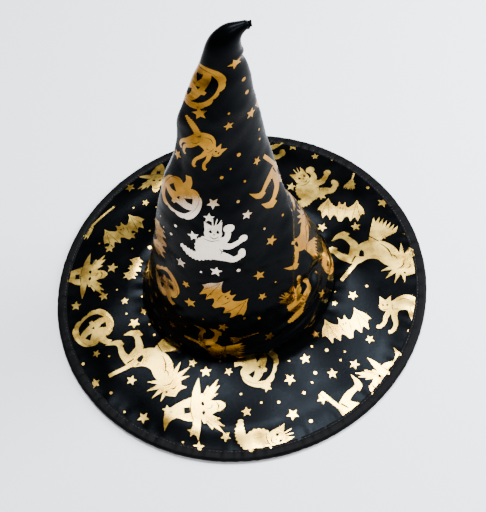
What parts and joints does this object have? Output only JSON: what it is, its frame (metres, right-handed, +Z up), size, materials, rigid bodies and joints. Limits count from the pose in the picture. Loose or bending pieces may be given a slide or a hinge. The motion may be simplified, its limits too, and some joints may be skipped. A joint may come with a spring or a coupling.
{
  "type": "witch hat",
  "caption": "Pointed costume witch hat in black satin with a gold foil Halloween print, a wide wired brim with a bound edge, and a soft crown whose tip droops to one side.",
  "frame": {"origin": "centre of the brim, at the underside of its bound edge", "axes": "+Z up along the crown, -Y the hat's front, +Y the back seam, +X the side the tip droops to"},
  "size_m": [0.38, 0.38, 0.3589],
  "materials": {
    "printed_satin": "black polyester satin, soft sheen, gold foil print",
    "gold_foil": "thin hot-pressed gold foil print, crinkled gloss",
    "plain_satin": "black satin, no print",
    "binding_tape": "black satin bias tape",
    "brim_foam": "matt padded non-woven",
    "interlining": "matt non-woven",
    "spring_steel": "drawn wire",
    "sleeve_plastic": "natural plastic tube",
    "ribbon": "ribbed grosgrain",
    "label": "blank woven satin label"
  },
  "bodies": {
    "hat": {"brim_top_cover": "printed_satin", "brim_foam": "brim_foam", "brim_under_cover": "plain_satin", "edge_binding": "binding_tape", "brim_hoop": "spring_steel", "hoop_sleeve": "sleeve_plastic", "crown_cone": "printed_satin", "crown_fold": "printed_satin", "crown_interlining": "interlining", "crown_back_seam": "printed_satin", "opening_seam": "plain_satin", "head_band": "ribbon"},
    "tip": {"crown_tip": "printed_satin"},
    "label": {"care_label": "label"}
  },
  "joints": [
    {"name": "tip_flop", "type": "hinge", "parent": "hat", "child": "tip", "pos_m": [0.0227, 0, 0.321], "axis": [0, 1, 0], "range_deg": [-50, 45], "stiffness_Nm_per_rad": 0.02, "deforming": ["crown_fold"]},
    {"name": "label_flap", "type": "hinge", "parent": "hat", "child": "label", "pos_m": [0, 0.07535, 0.0262], "axis": [-1, 0, 0], "range_deg": [-4, 85]}
  ]
}
